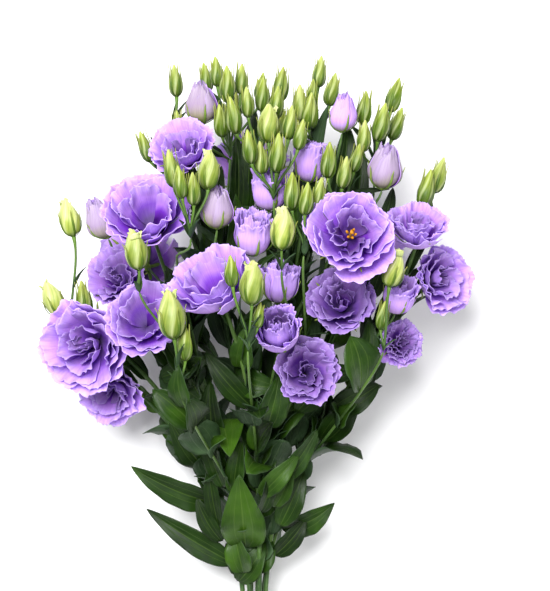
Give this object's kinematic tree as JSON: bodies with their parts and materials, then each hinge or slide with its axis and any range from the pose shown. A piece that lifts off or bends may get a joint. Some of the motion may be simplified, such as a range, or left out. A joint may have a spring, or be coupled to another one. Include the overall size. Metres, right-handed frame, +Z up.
{
  "type": "lisianthus flower bunch",
  "caption": "Cut bunch of double lisianthus lying on its side: branching stems held by a band, with ruffled open blooms, half open blooms, green buds and leaves.",
  "frame": {"origin": "bottom centre of the bounding box, on the surface the bunch lies on", "axes": "+Y along the bunch from its cut ends to the flower heads, +Z up, +X to the right when it is seen from above with the heads away from the viewer"},
  "size_m": [0.3504, 0.6028, 0.2239],
  "materials": {
    "petal": "matte",
    "pale_petal": "matte",
    "bud": "satin",
    "stem": "satin",
    "leaf": "satin",
    "rubber": "matte"
  },
  "bodies": {
    "root": {"open_bloom_01": "petal", "open_bloom_02": "petal", "open_bloom_03": "petal", "open_bloom_04": "petal", "open_bloom_05": "petal", "open_bloom_06": "petal", "open_bloom_07": "petal", "open_bloom_08": "petal", "open_bloom_09": "petal", "open_bloom_10": "petal", "open_bloom_11": "petal", "open_bloom_12": "petal", "open_bloom_13": "petal", "open_bloom_14": "petal", "open_bloom_15": "petal", "open_bloom_16": "petal", "half_bloom_01": "petal", "half_bloom_02": "petal", "half_bloom_03": "petal", "half_bloom_04": "petal", "half_bloom_05": "petal", "half_bloom_06": "petal", "closed_bloom_01": "pale_petal", "closed_bloom_02": "pale_petal", "closed_bloom_03": "pale_petal", "closed_bloom_04": "pale_petal", "closed_bloom_05": "pale_petal", "buds_01": "bud", "buds_02": "bud", "buds_03": "bud", "buds_04": "bud", "buds_05": "bud", "buds_06": "bud", "buds_07": "bud", "buds_08": "bud", "buds_09": "bud", "buds_10": "bud", "buds_11": "bud", "buds_12": "bud", "buds_13": "bud", "buds_14": "bud", "buds_15": "bud", "buds_16": "bud", "buds_17": "bud", "stem_01": "stem", "stem_02": "stem", "stem_03": "stem", "stem_04": "stem", "stem_05": "stem", "stem_06": "stem", "stem_07": "stem", "leaf_01": "leaf", "leaf_02": "leaf", "leaf_03": "leaf", "leaf_04": "leaf", "leaf_05": "leaf", "leaf_06": "leaf", "leaf_07": "leaf", "leaf_08": "leaf", "rubber_band": "rubber"}
  },
  "joints": []
}
